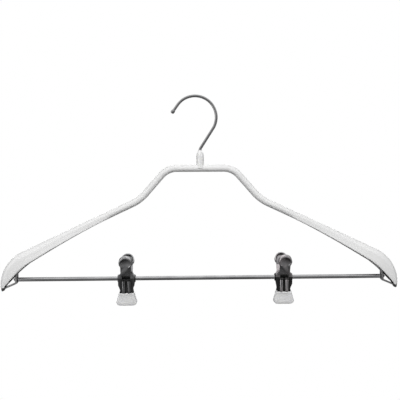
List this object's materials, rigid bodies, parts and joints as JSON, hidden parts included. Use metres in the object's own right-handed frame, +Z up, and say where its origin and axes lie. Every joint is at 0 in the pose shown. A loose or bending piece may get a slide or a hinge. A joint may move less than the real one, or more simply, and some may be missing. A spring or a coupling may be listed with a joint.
{
  "type": "skirt hanger",
  "caption": "Coated tube clothes hanger with broad shoulder ends, a swivel hook, and a metal bar that carries sliding spring clips with soft boots for skirts and trousers.",
  "frame": {"origin": "on the swivel axis, at the inside top of the hook, where it rests on a rail", "axes": "+Z up along the swivel axis; +X along the bar, to the right seen from the front; -Y to the front, the side that the clips' wider jaws face"},
  "size_m": [0.42, 0.0358, 0.2222],
  "materials": {
    "coating_white": "satin",
    "neck_white": "satin",
    "boot_white": "soft matte",
    "hook_chrome": "polished",
    "bar_chrome": "polished",
    "clip_nickel": "polished",
    "pivot_nickel": "polished",
    "bracket_steel": "satin",
    "spring_steel": "bright drawn",
    "inner_steel": "plain"
  },
  "bodies": {
    "hook_part": {"hook": "hook_chrome", "hook_washer": "inner_steel"},
    "frame_part": {"neck_socket": "inner_steel", "neck_sleeve": "neck_white", "frame_tube": "inner_steel", "frame_coating": "coating_white", "bar": "bar_chrome", "left_shoulder": "inner_steel", "left_shoulder_coating": "coating_white", "left_bar_bracket": "bracket_steel", "right_shoulder": "inner_steel", "right_shoulder_coating": "coating_white", "right_bar_bracket": "bracket_steel"},
    "left_slider_part": {"left_pivot_tube": "pivot_nickel"},
    "left_spring_part": {"left_spring": "spring_steel"},
    "left_front_jaw_part": {"left_front_jaw": "clip_nickel", "left_front_boot": "boot_white"},
    "left_back_jaw_part": {"left_back_jaw": "clip_nickel", "left_back_boot": "boot_white"},
    "right_slider_part": {"right_pivot_tube": "pivot_nickel"},
    "right_spring_part": {"right_spring": "spring_steel"},
    "right_front_jaw_part": {"right_front_jaw": "clip_nickel", "right_front_boot": "boot_white"},
    "right_back_jaw_part": {"right_back_jaw": "clip_nickel", "right_back_boot": "boot_white"}
  },
  "joints": [
    {"name": "hook_swivel", "type": "hinge", "parent": "hook_part", "child": "frame_part", "pos_m": [0, 0, -0.06], "axis": [0, 0, 1], "continuous": true},
    {"name": "left_clip_slide", "type": "slide", "parent": "frame_part", "child": "left_slider_part", "axis": [1, 0, 0], "range_m": [-0.0717, 0.0668]},
    {"name": "left_clip_swing", "type": "hinge", "parent": "left_slider_part", "child": "left_spring_part", "pos_m": [-0.0783, 0, -0.19048], "axis": [1, 0, 0], "continuous": true},
    {"name": "left_front_jaw_open", "type": "hinge", "parent": "left_spring_part", "child": "left_front_jaw_part", "pos_m": [-0.0783, 0, -0.19048], "axis": [-1, 0, 0], "range_deg": [0, 28], "stiffness_Nm_per_rad": 0.05, "springref_deg": -11.46, "deforming": ["left_spring"]},
    {"name": "left_back_jaw_open", "type": "hinge", "parent": "left_spring_part", "child": "left_back_jaw_part", "pos_m": [-0.0783, 0, -0.19048], "axis": [1, 0, 0], "range_deg": [0, 28], "stiffness_Nm_per_rad": 0.05, "springref_deg": -11.46},
    {"name": "right_clip_slide", "type": "slide", "parent": "frame_part", "child": "right_slider_part", "axis": [1, 0, 0], "range_m": [-0.0762, 0.0623]},
    {"name": "right_clip_swing", "type": "hinge", "parent": "right_slider_part", "child": "right_spring_part", "pos_m": [0.0877, 0, -0.19048], "axis": [1, 0, 0], "continuous": true},
    {"name": "right_front_jaw_open", "type": "hinge", "parent": "right_spring_part", "child": "right_front_jaw_part", "pos_m": [0.0877, 0, -0.19048], "axis": [-1, 0, 0], "range_deg": [0, 28], "stiffness_Nm_per_rad": 0.05, "springref_deg": -11.46, "deforming": ["right_spring"]},
    {"name": "right_back_jaw_open", "type": "hinge", "parent": "right_spring_part", "child": "right_back_jaw_part", "pos_m": [0.0877, 0, -0.19048], "axis": [1, 0, 0], "range_deg": [0, 28], "stiffness_Nm_per_rad": 0.05, "springref_deg": -11.46}
  ],
  "couplings": [
    {"joint": "left_back_jaw_open", "follows": "left_front_jaw_open", "ratio": 1},
    {"joint": "right_back_jaw_open", "follows": "right_front_jaw_open", "ratio": 1}
  ]
}
